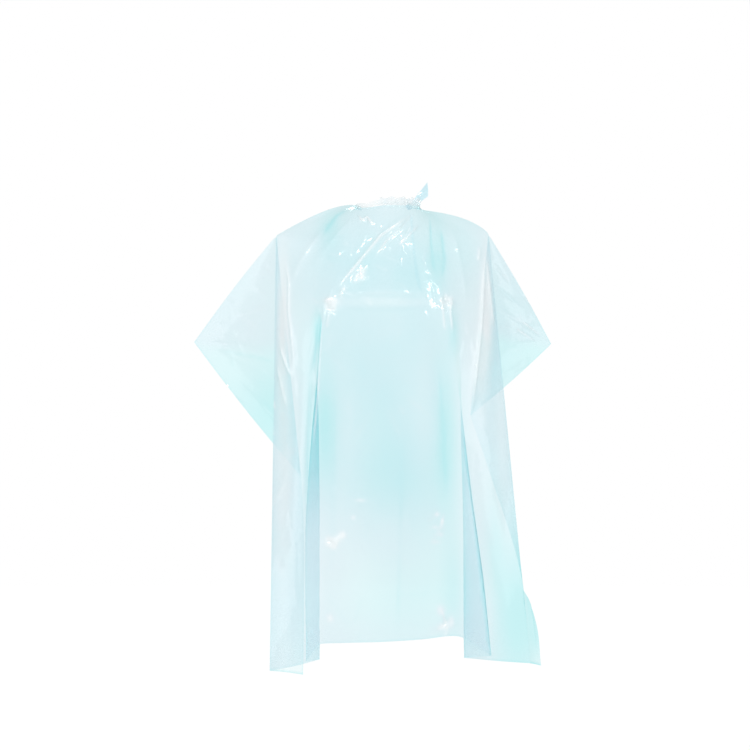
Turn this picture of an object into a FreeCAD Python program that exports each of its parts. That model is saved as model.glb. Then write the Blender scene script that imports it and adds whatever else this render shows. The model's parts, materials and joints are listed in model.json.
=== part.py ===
import FreeCAD, Part
import Sketcher
import math
import os

from FreeCAD import Vector

# A disposable hairdressing cape, as it hangs on a wearer who stands upright.
# One rectangular sheet of thin film hangs from a neckline gathered on a tie. The origin is the middle
# of the neck opening, +X is the wearer's left, -Y is the front and +Z is up. Lengths are millimetres.
# The sheet hangs in creases that act as film hinges, so every panel between creases is a solid of its own.
# The film is drawn thicker than the real 0.03 mm, so that each panel is a closed solid.

doc = FreeCAD.newDocument("barber_cape")
sheet = doc.addObject("Spreadsheet::Sheet", "dimensions")

DIMENSIONS = [
    # film, seams and clearances
    ("film_wall", 0.8),
    ("yoke_wall", 1.6),
    ("fold_gap", 2.0),
    ("layer_gap", 5.0),
    # neck casing, tie and knot
    ("neck_radius", 62.0),
    ("casing_height", 12.0),
    ("casing_depth", 5.0),
    ("casing_wall", 0.8),
    ("casing_angle", 258.0),
    ("casing_gap_azimuth", 90.0),
    ("tie_width", 8.0),
    ("tie_wall", 1.0),
    ("tie_angle", 344.0),
    ("knot_azimuth", 46.0),
    ("knot_half_width", 7.0),
    ("knot_half_height", 6.0),
    ("tail_width", 14.0),
    ("short_tail_length", 38.0),
    ("long_tail_length", 150.0),
    # shoulders, chest and hem of the wearer's right (-X) and left (+X) half
    ("shoulder_left", 213.0),
    ("shoulder_right", 196.0),
    ("shoulder_drop", 65.0),
    ("shoulder_front", 104.0),
    ("bust_drop", 200.0),
    ("bust_front", 126.0),
    ("yoke_drop", 8.0),
    ("hem_drop", 828.0),
    ("pleat_hem_drop", 864.0),
    ("outer_hem_left_drop", 886.0),
    ("outer_hem_right_drop", 877.0),
    ("corner_drop", 897.0),
    ("hem_front", 122.0),
    # outer creases, where the sheet turns back behind itself
    ("outer_crease_left", 222.0),
    ("outer_crease_right", 271.0),
    ("outer_crease_front", 85.0),
    # inner pleats of the front
    ("inner_top_left", 118.0),
    ("inner_hem_left", 153.0),
    ("return_hem_left", 127.0),
    ("inner_top_right", 118.0),
    ("inner_mid_right", 141.0),
    ("inner_mid_drop", 408.0),
    ("inner_hem_right", 196.0),
    ("return_hem_right", 144.0),
    ("inner_front", 104.0),
    ("inner_hem_front", 112.0),
    ("return_back", 10.0),
    ("return_hem_back", 20.0),
    # wings: the upper corners of the sheet, which hang behind the shoulders
    ("wing_tip_left", 380.0),
    ("wing_tip_left_back", 135.0),
    ("wing_tip_left_drop", 262.0),
    ("wing_root_left", 165.0),
    ("wing_root_left_drop", 522.0),
    ("wing_bend_left_drop", 290.0),
    ("wing_tip_right", 322.0),
    ("wing_tip_right_back", 95.0),
    ("wing_tip_right_drop", 266.0),
    ("wing_root_right", 160.0),
    ("wing_root_right_drop", 405.0),
    ("wing_bend_right_drop", 235.0),
    ("wing_root_front", 10.0),
    # side edges
    ("corner_left", 160.0),
    ("corner_left_front", 45.0),
    ("side_mid_right", 247.0),
    ("side_mid_right_drop", 663.0),
    ("side_mid_right_front", 18.0),
    ("flare_right", 285.0),
    ("flare_right_drop", 802.0),
    ("corner_right", 293.0),
    ("corner_right_front", 52.0),
    ("corner_right_drop", 878.0),
    ("shoulder_clearance", 32.0),
    ("mouth_azimuth", 40.0),
]
for row, (alias, value) in enumerate(DIMENSIONS, start=1):
    sheet.set(f"A{row}", alias)
    sheet.set(f"B{row}", str(value))
    sheet.setAlias(f"B{row}", alias)
doc.recompute()


def size(alias):
    """A driving dimension's value."""
    return float(sheet.get(alias))


def along(a, b, share):
    """The point that lies the given share of the way from a to b."""
    return a + (b - a) * share


def at_drop(line, drop):
    """The point of a crease, given as a list of points from the top down, at a drop below the neckline."""
    for a, b in zip(line, line[1:]):
        if drop <= -b.z:
            return along(a, b, (drop + a.z) / (a.z - b.z))
    return line[-1]


# ---- creases and edges of the hanging sheet ------------------------------------------------------------

SIDES = {"left": -1.0, "right": 1.0}  # as the viewer in front of the wearer sees them


def shoulder(side):
    """The shoulder's high point, where the outer crease and the wing crease meet."""
    return Vector(SIDES[side] * size(f"shoulder_{side}"), 0, -size("shoulder_drop"))


def outer_crease(side):
    """The crease from the shoulder to the hem where the sheet turns back behind itself."""
    hem = size(f"outer_hem_{side}_drop")
    bottom = Vector(SIDES[side] * size(f"outer_crease_{side}"), -size("outer_crease_front"), -hem)
    return [shoulder(side), bottom]


def wing_crease(side):
    """The hidden crease from the shoulder to the side edge, where the wing turns outward again."""
    root = Vector(
        SIDES[side] * size(f"wing_root_{side}"), -size("wing_root_front"), -size(f"wing_root_{side}_drop")
    )
    return [shoulder(side), root]


def wing_tip(side):
    """The sheet's upper corner."""
    x, back = SIDES[side] * size(f"wing_tip_{side}"), size(f"wing_tip_{side}_back")
    return Vector(x, back, -size(f"wing_tip_{side}_drop"))


def side_edge(side):
    """The sheet's free side edge, from the wing crease down to the hem corner."""
    root = wing_crease(side)[1]
    if side == "left":
        corner = Vector(-size("corner_left"), -size("corner_left_front"), -size("corner_drop"))
        return [root, corner]
    middle = Vector(size("side_mid_right"), -size("side_mid_right_front"), -size("side_mid_right_drop"))
    flare = Vector(size("flare_right"), -size("corner_right_front"), -size("flare_right_drop"))
    corner = Vector(size("corner_right"), -size("corner_right_front"), -size("corner_right_drop"))
    return [root, middle, flare, corner]


def front_crease(side):
    """The crease of the inner pleat where the front film folds back."""
    x = SIDES[side]
    top = Vector(x * size(f"inner_top_{side}"), -size("inner_front"), -size("bust_drop"))
    hem = Vector(x * size(f"inner_hem_{side}"), -size("inner_hem_front"), -size("pleat_hem_drop"))
    if side == "left":
        return [top, hem]
    middle = Vector(x * size("inner_mid_right"), -size("inner_front"), -size("inner_mid_drop"))
    return [top, middle, hem]


def return_crease(side):
    """The second crease of the inner pleat, behind the first, where the film turns outward again."""
    behind = Vector(0, size("return_back"), 0)
    top = front_crease(side)[0] + behind
    hem_x = SIDES[side] * size(f"return_hem_{side}")
    hem = Vector(hem_x, size("return_hem_back") - size("inner_hem_front"), -size("pleat_hem_drop"))
    if side == "left":
        return [top, hem]
    return [top, front_crease(side)[1] + behind, hem]


# ---- thin solids ---------------------------------------------------------------------------------------


def strip_section(a, b, wall, gap_a, gap_b):
    """A flat section of film from a to b, shortened at both ends, as a closed wire."""
    run = b - a
    level = Vector(run.x, run.y, 0)
    level.normalize()
    across = Vector(-level.y, level.x, 0) * (wall / 2)
    unit = run / run.Length
    p, q = a + unit * gap_a, b - unit * gap_b
    return Part.makePolygon([p - across, q - across, q + across, p + across, p - across])


def film_strip(line_a, line_b, drops, gap_a=None, gap_b=None):
    """Film between two creases, lofted through level sections at the given drops."""
    gap_a = size("fold_gap") if gap_a is None else gap_a
    gap_b = size("fold_gap") if gap_b is None else gap_b
    wires = []
    for drop in drops:
        a, b = at_drop(line_a, drop), at_drop(line_b, drop)
        wires.append(strip_section(a, b, size("film_wall"), gap_a, gap_b))
    return Part.makeLoft(wires, True, True)


def circle_of(a, middle, b):
    """Centre and radius of the level circle through three points."""
    circle = Part.Arc(a, middle, b).toShape().Curve
    return circle.Center, circle.Radius


def curved_section(a, middle, b, wall, gap, share=(0.0, 1.0)):
    """A curved level section of film on the arc through three points, as a closed wire.

    The share is the part of the arc that the section takes, and the gap is left at both of its ends."""
    centre, radius = circle_of(a, middle, b)
    arc_start = math.atan2(a.y - centre.y, a.x - centre.x)
    arc_end = math.atan2(b.y - centre.y, b.x - centre.x)
    while arc_end < arc_start:
        arc_end += 2 * math.pi
    trim = gap / radius
    first = arc_start + (arc_end - arc_start) * share[0] + trim
    last = arc_start + (arc_end - arc_start) * share[1] - trim

    def on(angle, r):
        return centre + Vector(r * math.cos(angle), r * math.sin(angle), 0)

    mid = (first + last) / 2
    outer = Part.Arc(on(first, radius), on(mid, radius), on(last, radius)).toShape()
    inside = radius - wall
    inner = Part.Arc(on(last, inside), on(mid, inside), on(first, inside)).toShape()
    start = Part.makeLine(on(first, inside), on(first, radius))
    end = Part.makeLine(on(last, radius), on(last, inside))
    return Part.Wire([outer, end, inner, start])


def flat_facet(corners, wall, gap):
    """A flat facet of film inside three corners, clear of its edges by the gap."""
    face = Part.Face(Part.makePolygon(corners + corners[:1]))
    normal = (corners[1] - corners[0]).cross(corners[2] - corners[0])
    normal.normalize()
    inside = face.makeOffset2D(-gap)
    solid = inside.extrude(normal * wall)
    solid.translate(normal * (-wall / 2))
    return solid


def add_feature(label, shape):
    """Puts a shape that Part's functions made into the document."""
    feature = doc.addObject("Part::Feature", label)
    feature.Label = label
    feature.Shape = shape
    feature.Placement = FreeCAD.Placement()
    return feature


# ---- neck casing and the tie inside it ------------------------------------------------------------------


JUST_AFTER_X = 3.0  # degrees


def plane_of(body, role):
    """One of a body's own origin planes."""
    return next(f for f in body.Origin.OriginFeatures if f.Role == role)


def rectangle(sketch, centre_x, width, height, first_constraint_names):
    """A rectangle about (centre_x, 0) whose place and size follow the sheet."""
    x0, x1, z1 = centre_x - width / 2, centre_x + width / 2, height / 2
    corners = [Vector(x0, -z1, 0), Vector(x1, -z1, 0), Vector(x1, z1, 0), Vector(x0, z1, 0)]
    start = sketch.GeometryCount
    for p, q in zip(corners, corners[1:] + corners[:1]):
        sketch.addGeometry(Part.LineSegment(p, q), False)
    for k in range(4):
        sketch.addConstraint(Sketcher.Constraint("Coincident", start + k, 2, start + (k + 1) % 4, 1))
    for k in (0, 2):
        sketch.addConstraint(Sketcher.Constraint("Horizontal", start + k))
        sketch.addConstraint(Sketcher.Constraint("Vertical", start + k + 1))
    inner_x, wide, high, low = first_constraint_names
    values = (
        (inner_x[0], Sketcher.Constraint("DistanceX", -1, 1, start, 1, x0), inner_x[1]),
        (wide[0], Sketcher.Constraint("DistanceX", start, 1, start, 2, width), wide[1]),
        (high[0], Sketcher.Constraint("DistanceY", start + 1, 1, start + 1, 2, height), high[1]),
        (low[0], Sketcher.Constraint("DistanceY", start, 1, -1, 1, height / 2), low[1]),
    )
    for name, constraint, expression in values:
        index = sketch.addConstraint(constraint)
        sketch.renameConstraint(index, name)
        sketch.setExpression(f"Constraints.{name}", expression)


def add_ring(label, sections, angle_alias, azimuth_alias):
    """A ring about +Z, revolved through part of a turn, whose gap is centred on an azimuth."""
    body = doc.addObject("PartDesign::Body", label)
    body.Label = label
    sketch = body.newObject("Sketcher::SketchObject", label + "_section")
    sketch.AttachmentSupport = (plane_of(body, "XZ_Plane"), [""])
    sketch.MapMode = "FlatFace"
    for k, (centre_x, width, height, place, wide, high) in enumerate(sections):
        names = (
            (f"place_{k}", place),
            (f"wide_{k}", wide),
            (f"high_{k}", high),
            (f"low_{k}", f"({high}) / 2"),
        )
        rectangle(sketch, centre_x, width, height, names)
    revolution = body.newObject("PartDesign::Revolution", label + "_turn")
    revolution.Profile = sketch
    revolution.ReferenceAxis = (sketch, ["V_Axis"])
    revolution.setExpression("Angle", f"dimensions.{angle_alias}")
    doc.recompute()
    turn = size(azimuth_alias) + (360 - size(angle_alias)) / 2
    if is_clockwise(body):
        turn = size(azimuth_alias) - (360 - size(angle_alias)) / 2
    body.Placement = FreeCAD.Placement(Vector(0, 0, 0), FreeCAD.Rotation(Vector(0, 0, 1), turn))
    return body


def is_clockwise(body):
    """Whether the ring runs clockwise from +X, seen from above. A point just after +X is then outside it."""
    radius = size("neck_radius")
    angle = math.radians(JUST_AFTER_X)
    probe = Vector(radius * math.cos(angle), radius * math.sin(angle), 0)
    return body.Shape.distToShape(Part.Vertex(probe))[0] > size("casing_depth")


radius_of_casing = "dimensions.neck_radius"
half_casing = "dimensions.casing_depth / 2"
add_ring(
    "neck_casing",
    [
        (
            size("neck_radius"),
            size("casing_depth"),
            size("casing_height"),
            f"{radius_of_casing} - {half_casing}",
            "dimensions.casing_depth",
            "dimensions.casing_height",
        ),
        (
            size("neck_radius"),
            size("casing_depth") - 2 * size("casing_wall"),
            size("casing_height") - 2 * size("casing_wall"),
            f"{radius_of_casing} - {half_casing} + dimensions.casing_wall",
            "dimensions.casing_depth - 2 * dimensions.casing_wall",
            "dimensions.casing_height - 2 * dimensions.casing_wall",
        ),
    ],
    "casing_angle",
    "casing_gap_azimuth",
)
add_ring(
    "neck_tie",
    [
        (
            size("neck_radius"),
            size("tie_wall"),
            size("tie_width"),
            f"{radius_of_casing} - dimensions.tie_wall / 2",
            "dimensions.tie_wall",
            "dimensions.tie_width",
        )
    ],
    "tie_angle",
    "knot_azimuth",
)

azimuth = math.radians(size("knot_azimuth"))
knot_centre = Vector(math.cos(azimuth), math.sin(azimuth), 0) * size("neck_radius")
knot = doc.addObject("Part::Ellipsoid", "tie_knot")
knot.Label = "tie_knot"
knot.setExpression("Radius1", "dimensions.knot_half_height")
knot.setExpression("Radius2", "dimensions.knot_half_width")
knot.setExpression("Radius3", "dimensions.knot_half_height")
knot.Placement = FreeCAD.Placement(
    knot_centre, FreeCAD.Rotation(Vector(0, 0, 1), size("knot_azimuth") + 90)
)


def add_tail(label, length_alias, clearance, direction):
    """A free end of the tie: a flat strip that starts clear of the knot and runs along a direction."""
    tail = doc.addObject("Part::Box", label)
    tail.Label = label
    tail.setExpression("Length", "dimensions.tail_width")
    tail.setExpression("Width", "dimensions.tie_wall")
    tail.setExpression("Height", f"dimensions.{length_alias}")
    outward = Vector(math.cos(azimuth), math.sin(azimuth), 0)
    direction.normalize()
    across = direction.cross(outward)
    across.normalize()
    face = direction.cross(across)
    turn = FreeCAD.Rotation(FreeCAD.Matrix(
        across.x, face.x, direction.x, 0,
        across.y, face.y, direction.y, 0,
        across.z, face.z, direction.z, 0,
        0, 0, 0, 1,
    ))
    start = knot_centre + outward * size("layer_gap") + direction * clearance
    start = start - across * (size("tail_width") / 2) - face * (size("tie_wall") / 2)
    tail.Placement = FreeCAD.Placement(start, turn)


SHORT_TAIL_WAY, LONG_TAIL_WAY = Vector(0.67, 0.26, 0.70), Vector(0.10, 0.28, -0.95)
tail_start = size("knot_half_height") + size("fold_gap")
add_tail("short_tie_tail", "short_tail_length", tail_start, SHORT_TAIL_WAY)
add_tail("long_tie_tail", "long_tail_length", tail_start, LONG_TAIL_WAY)

# ---- yoke, chest and the hanging front -------------------------------------------------------------------


def level_arc(left, right, front, drop, wall, gap, share=(0.0, 1.0)):
    """A curved level section of film from a left to a right point, through a front point, at a drop."""
    middle = Vector((left.x + right.x) / 2, -front, -drop)
    a, b = Vector(left.x, left.y, -drop), Vector(right.x, right.y, -drop)
    return curved_section(a, middle, b, wall, gap, share)


neckline = size("neck_radius")
mouth_angle = math.radians(size("mouth_azimuth"))
mouth_right = Vector(neckline * math.cos(mouth_angle), neckline * math.sin(mouth_angle), 0)
mouth_left = Vector(-mouth_right.x, mouth_right.y, 0)
YOKE_PANELS = {
    "left_yoke_panel": ((0.0, 0.36), (0.0, 0.30)),
    "front_yoke_panel": ((0.36, 0.64), (0.30, 0.70)),
    "right_yoke_panel": ((0.64, 1.0), (0.70, 1.0)),
}  # each panel's share of the neckline and of the shoulder line
for label, (neck_share, shoulder_share) in YOKE_PANELS.items():
    wall, gap = size("yoke_wall"), size("fold_gap") / 2
    top = level_arc(mouth_left, mouth_right, neckline, size("yoke_drop"), wall, gap, neck_share)
    front, drop = size("shoulder_front"), size("shoulder_drop")
    bottom = level_arc(shoulder("left"), shoulder("right"), front, drop, wall, gap, shoulder_share)
    add_feature(label, Part.makeLoft([top, bottom], True, True))
bust, chest_top = size("bust_drop"), size("shoulder_drop") + size("fold_gap")
chest_sections = []
for drop, front in ((chest_top, size("shoulder_front") + size("fold_gap") / 2), (bust, size("bust_front"))):
    ends = [at_drop(outer_crease(side), drop) for side in ("left", "right")]
    chest_sections.append(level_arc(*ends, front, drop, size("film_wall"), size("fold_gap")))
add_feature("chest_panel", Part.makeLoft(chest_sections, True, True))
below_bust = bust + size("fold_gap")
front_sections = []
for drop, front in (
    (below_bust, size("bust_front")),
    (size("inner_mid_drop"), size("bust_front")),
    (size("hem_drop"), size("hem_front") + size("layer_gap")),
):
    ends = [at_drop(front_crease(side), drop) for side in ("left", "right")]
    front_sections.append(level_arc(*ends, front, drop, size("film_wall"), size("fold_gap")))
add_feature("front_panel", Part.makeLoft(front_sections, True, True))

# ---- pleats, side panels and wings -----------------------------------------------------------------------

for side in SIDES:
    front_line, return_line = front_crease(side), return_crease(side)
    outer_line, wing_line = outer_crease(side), wing_crease(side)
    pleat_hem = size("pleat_hem_drop")
    middle = size("inner_mid_drop")
    start = bust + size("shoulder_clearance") if side == "left" else middle + size("shoulder_clearance")
    shape = film_strip(front_line, return_line, [start, pleat_hem], size("fold_gap") / 2, size("fold_gap") / 2)
    add_feature(f"{side}_inner_pleat", shape)
    shape = film_strip(return_line, outer_line, [below_bust, middle, pleat_hem])
    add_feature(f"{side}_outer_pleat", shape)

    back_line = wing_line + side_edge(side)[1:]
    drops = [size("shoulder_drop") + size("shoulder_clearance")]
    drops += [-p.z for p in back_line[1:-1]]
    drops.append(min(-back_line[-1].z, -outer_line[-1].z))
    shape = film_strip(outer_line, back_line, drops)
    add_feature(f"{side}_side_panel", shape)

    tip, root = wing_tip(side), wing_line[1]
    bend = at_drop(wing_line, size(f"wing_bend_{side}_drop"))
    top = at_drop([wing_line[0], tip], size("shoulder_drop") + size("shoulder_clearance"))
    upper = [top, tip, bend]
    add_feature(f"{side}_wing_upper", flat_facet(upper, size("film_wall"), size("fold_gap")))
    add_feature(f"{side}_wing_lower", flat_facet([bend, tip, root], size("film_wall"), size("fold_gap")))

# ---- check and write every sub-part ----------------------------------------------------------------------

doc.recompute()
for obj in doc.Objects:
    if "Invalid" in obj.State or "Error" in obj.State:
        raise SystemExit(f"{obj.Label} did not recompute: {obj.State}")
PART_TYPES = ("PartDesign::Body", "Part::Feature", "Part::Box", "Part::Ellipsoid")
parts = [obj for obj in doc.Objects if obj.TypeId in PART_TYPES]
for obj in parts:
    shape = obj.Shape
    if shape.isNull() or not shape.isValid() or shape.Volume <= 0:
        raise SystemExit(f"{obj.Label} is not a valid solid")
os.makedirs("parts", exist_ok=True)
for obj in parts:
    obj.Shape.exportStep(os.path.join("parts", obj.Label + ".step"))
    box = obj.Shape.BoundBox
    print(
        f"{obj.Label}: volume {obj.Shape.Volume:.0f} mm3, "
        f"x {box.XMin:.0f}..{box.XMax:.0f}, y {box.YMin:.0f}..{box.YMax:.0f}, z {box.ZMin:.0f}..{box.ZMax:.0f}"
    )
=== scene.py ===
import json
import math

import bpy
import numpy as np
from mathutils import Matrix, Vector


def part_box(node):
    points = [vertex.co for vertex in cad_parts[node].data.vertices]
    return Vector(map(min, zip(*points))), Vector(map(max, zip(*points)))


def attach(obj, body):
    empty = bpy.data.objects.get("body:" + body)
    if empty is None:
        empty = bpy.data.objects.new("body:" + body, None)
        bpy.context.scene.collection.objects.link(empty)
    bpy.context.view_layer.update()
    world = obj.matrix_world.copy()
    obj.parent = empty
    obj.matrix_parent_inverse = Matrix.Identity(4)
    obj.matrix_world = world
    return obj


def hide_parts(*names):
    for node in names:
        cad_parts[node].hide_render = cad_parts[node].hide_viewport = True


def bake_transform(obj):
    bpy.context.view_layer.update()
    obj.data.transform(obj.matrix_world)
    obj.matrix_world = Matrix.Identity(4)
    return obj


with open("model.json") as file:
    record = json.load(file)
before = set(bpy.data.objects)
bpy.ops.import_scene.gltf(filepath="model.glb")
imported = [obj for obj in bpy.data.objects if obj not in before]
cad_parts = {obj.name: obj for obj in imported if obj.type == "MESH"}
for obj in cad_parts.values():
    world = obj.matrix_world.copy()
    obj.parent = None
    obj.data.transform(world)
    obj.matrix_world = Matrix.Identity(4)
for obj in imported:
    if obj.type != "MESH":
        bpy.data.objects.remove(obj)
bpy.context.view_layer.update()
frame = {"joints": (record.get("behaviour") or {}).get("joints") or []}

MM = 0.001
RANDOM = np.random.default_rng(745)
JOINTS = {joint["name"]: joint for joint in frame["joints"]}
SIDES = {"left": -1.0, "right": 1.0}

# ---- camera, stage and light ---------------------------------------------------------------------------

VIEW_CENTRE = (-0.023, -0.06, -0.327)
VIEW_WIDTH = 1.425       # what the picture spans at the cape
CAMERA_DISTANCE = 5.0
SENSOR = 36.0


def add_camera():
    """A long lens straight in front of the cape and level with its middle."""
    data = bpy.data.cameras.new("camera")
    data.sensor_width = SENSOR
    data.lens = SENSOR * CAMERA_DISTANCE / VIEW_WIDTH
    data.clip_end = 60
    camera = bpy.data.objects.new("camera", data)
    camera.location = (VIEW_CENTRE[0], VIEW_CENTRE[1] - CAMERA_DISTANCE, VIEW_CENTRE[2])
    camera.rotation_euler = (math.radians(90), 0, 0)
    bpy.context.scene.collection.objects.link(camera)
    bpy.context.scene.camera = camera


def add_area_light(name, location, target, width, height, power):
    """A rectangular lamp that faces a target, with its width kept level."""
    data = bpy.data.lights.new(name, "AREA")
    data.shape = "RECTANGLE"
    data.size, data.size_y = width, height
    data.energy = power
    light = bpy.data.objects.new(name, data)
    light.location = location
    step = np.array(target) - np.array(location)
    level = math.hypot(step[0], step[1])
    light.rotation_euler = (math.atan2(level, -step[2]), 0, math.atan2(step[1], step[0]) - math.pi / 2)
    bpy.context.scene.collection.objects.link(light)
    return light


LAMP_TARGET = (0, -0.1, -0.35)       # near the middle of the cape
LAMPS = {
    # name: (place, width, height, turn in degrees, brightness)
    "soft_left": ((-3.4, -1.9, -0.2), 1.6, 2.6, 0, 0.6),
    "soft_right": ((3.4, -1.7, -0.1), 1.6, 2.6, 0, 0.6),
    "strip_left": ((-2.1, -2.7, 1.7), 1.3, 0.12, 45, 57),
    "strip_right": ((1.9, -2.9, 1.5), 0.10, 1.2, 0, 43),
    "top": ((0.2, -2.2, 3.0), 1.4, 0.10, 0, 86),
    "rear": ((-0.8, 3.4, 0.6), 2.0, 1.4, 0, 5),
}


def add_lights():
    """Soft lamps at both sides and behind, and narrow bright ones that leave streaks on the film."""
    for name, (place, width, height, turn, brightness) in LAMPS.items():
        power = brightness * math.pi * width * height
        lamp = add_area_light(name, place, LAMP_TARGET, width, height, power)
        lamp.rotation_euler.rotate_axis("Z", math.radians(turn))


ROOM_SHADES = (                      # (colour, brightness) of the room
    ((0.93, 0.96, 1.0, 1), 0.42),    # as it lights the film
    ((0.95, 0.98, 1.0, 1), 0.70),    # as the film mirrors it
    ((1.0, 1.0, 1.0, 1), 1.0),       # as the camera sees it behind the cape
)


def add_world():
    """White behind the object, and a softer grey room for what is lit or mirrored."""
    world = bpy.data.worlds.new("studio")
    bpy.context.scene.world = world
    world.use_nodes = True
    nodes, links = world.node_tree.nodes, world.node_tree.links
    nodes.clear()
    output = nodes.new("ShaderNodeOutputWorld")
    path = nodes.new("ShaderNodeLightPath")
    shades = []
    for colour, strength in ROOM_SHADES:
        shade = nodes.new("ShaderNodeBackground")
        shade.inputs["Color"].default_value = colour
        shade.inputs["Strength"].default_value = strength
        shades.append(shade.outputs[0])
    mirrored, seen = nodes.new("ShaderNodeMixShader"), nodes.new("ShaderNodeMixShader")
    links.new(path.outputs["Is Glossy Ray"], mirrored.inputs[0])
    links.new(shades[0], mirrored.inputs[1])
    links.new(shades[1], mirrored.inputs[2])
    links.new(path.outputs["Is Camera Ray"], seen.inputs[0])
    links.new(mirrored.outputs[0], seen.inputs[1])
    links.new(shades[2], seen.inputs[2])
    links.new(seen.outputs[0], output.inputs["Surface"])


FLOOR_Z, FLOOR_RADIUS = -1.45, 9.0


def add_floor():
    """A white floor that is as bright as the background, so that no horizon shows."""
    bpy.ops.mesh.primitive_circle_add(
        vertices=96, radius=FLOOR_RADIUS, fill_type="NGON", location=(0, 0, FLOOR_Z)
    )
    floor = bpy.context.object
    floor.name = "studio_floor"
    material = bpy.data.materials.new("floor_white")
    material.use_nodes = True
    shader = material.node_tree.nodes["Principled BSDF"]
    shader.inputs["Base Color"].default_value = (0.02, 0.02, 0.02, 1)
    shader.inputs["Roughness"].default_value = 1.0
    shader.inputs["Specular IOR Level"].default_value = 0.0
    shader.inputs["Emission Color"].default_value = (1, 1, 1, 1)
    shader.inputs["Emission Strength"].default_value = 1.0
    floor.data.materials.append(material)
    floor.visible_glossy = False         # the film mirrors the even room, with no horizon in it


def set_view():
    """Plain colours. The denoiser reads the picture alone, because the film's own colour and normal passes
    change abruptly where it turns from clear to hazy."""
    view = bpy.context.scene.view_settings
    view.view_transform = "Standard"
    view.look = "None"
    view.exposure, view.gamma = 0.0, 1.0
    bpy.context.scene.cycles.denoising_input_passes = "RGB"


# ---- film materials ------------------------------------------------------------------------------------


CRUMPLE_AND_HIGHLIGHT_WHITE = (0.93, 0.985, 1.0)      # the colour of the haziest film, as at a crumple, and of the painted highlights and painted sheen


def film_material(name, clear_tint, dense_tint, haze_tint, crinkle_scale):
    """Thin tinted film. It lets tinted light through, more deeply tinted where it is seen edge on, mirrors
    the lamps, and scatters a little pale light where its surface attributes say how hazy it is and how deep
    its tint is. Those attributes also carry painted sheen, painted highlights and painted shade."""
    material = bpy.data.materials.new(name)
    material.use_nodes = True
    nodes, links = material.node_tree.nodes, material.node_tree.links
    nodes.clear()

    def node(kind, **values):
        made = nodes.new(kind)
        for key, value in values.items():
            setattr(made, key, value)
        return made

    def fill(made, **values):
        """Sets a node's inputs by name, each to a value or to another node's output."""
        for key, value in values.items():
            socket = made.inputs[key.replace("_", " ")]
            if isinstance(value, bpy.types.NodeSocket):
                links.new(value, socket)
            else:
                socket.default_value = value
        return made

    def maths(operation, *values):
        made = node("ShaderNodeMath", operation=operation)
        for socket, value in zip(made.inputs, values):
            if isinstance(value, bpy.types.NodeSocket):
                links.new(value, socket)
            else:
                socket.default_value = value
        return made.outputs[0]

    def noise(scale, detail, distortion):
        made = node("ShaderNodeTexNoise")
        fill(made, Scale=scale, Detail=detail, Distortion=distortion, Vector=place)
        return made.outputs["Fac"]

    def mixed_colour(factor, first, second, **values):
        made = node("ShaderNodeMix", data_type="RGBA", **values)
        made.inputs[6].default_value = (*first, 1)
        made.inputs[7].default_value = (*second, 1)
        links.new(factor, made.inputs[0])
        return made.outputs[2]

    def mixed_shader(factor, first, second):
        made = node("ShaderNodeMixShader")
        for socket, value in zip(made.inputs, (factor, first, second)):
            links.new(value, socket)
        return made.outputs[0]

    place = node("ShaderNodeTexCoord").outputs["Object"]
    facing = fill(node("ShaderNodeLayerWeight"), Blend=0.5).outputs["Facing"]
    edge_on = maths("POWER", facing, 2.6)
    haze_and_highlight = node("ShaderNodeAttribute", attribute_name="haze_and_highlight").outputs["Fac"]
    tint_and_shade_attribute = node("ShaderNodeAttribute", attribute_name="tint_and_shade_depth").outputs["Fac"]
    uneven = maths("MULTIPLY_ADD", noise(14.0, 4.0, 0.8), 0.5, 0.75)
    bump = fill(node("ShaderNodeBump"), Strength=0.15, Distance=0.002, Height=noise(crinkle_scale, 3.0, 0.6))
    normal = bump.outputs["Normal"]

    tint_and_shade = maths("MAXIMUM", maths("ADD", maths("MULTIPLY", edge_on, 0.9), tint_and_shade_attribute), -0.5)
    tint = mixed_colour(tint_and_shade, clear_tint, dense_tint, clamp_factor=False)
    clear = fill(node("ShaderNodeBsdfTransparent"), Color=tint)
    # the film turns white where its haze is highest, which is where the painted highlights and painted sheen
    # lie
    pale = mixed_colour(maths("MULTIPLY_ADD", haze_and_highlight, 2.6, -1.0), haze_tint, CRUMPLE_AND_HIGHLIGHT_WHITE)
    hazy = fill(
        node("ShaderNodeBsdfPrincipled"), Base_Color=pale, Roughness=0.22, IOR=1.5, Coat_Weight=1.0,
        Coat_Roughness=0.04, Normal=normal, Coat_Normal=normal,
    )
    shine = fill(node("ShaderNodeBsdfGlossy"), Color=(1, 1, 1, 1), Roughness=0.12, Normal=normal)
    body = mixed_shader(maths("MULTIPLY", haze_and_highlight, uneven), clear.outputs[0], hazy.outputs[0])
    surface = mixed_shader(maths("MULTIPLY_ADD", edge_on, 0.22, 0.05), body, shine.outputs[0])
    fill(node("ShaderNodeOutputMaterial"), Surface=surface)
    return material


# ---- curves and grids ----------------------------------------------------------------------------------


def blend_weights(u):
    """The four weights of a Hermite curve: of its start, its slope there, its end and its slope there."""
    return 2 * u**3 - 3 * u**2 + 1, u**3 - 2 * u**2 + u, -2 * u**3 + 3 * u**2, u**3 - u**2


def smooth_line(knots, at):
    """A smooth curve through knots (first column the parameter), read at many parameters."""
    knots = np.asarray(knots, float)
    t, values = knots[:, 0], knots[:, 1:]
    slope = np.gradient(values, t, axis=0)
    k = np.clip(np.searchsorted(t, at, side="right") - 1, 0, len(t) - 2)
    width = (t[k + 1] - t[k])[:, None]
    start, leave, end, arrive = blend_weights((np.clip(at, t[0], t[-1]) - t[k])[:, None] / width)
    place = start * values[k] + leave * width * slope[k]
    return place + end * values[k + 1] + arrive * width * slope[k + 1]


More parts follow.
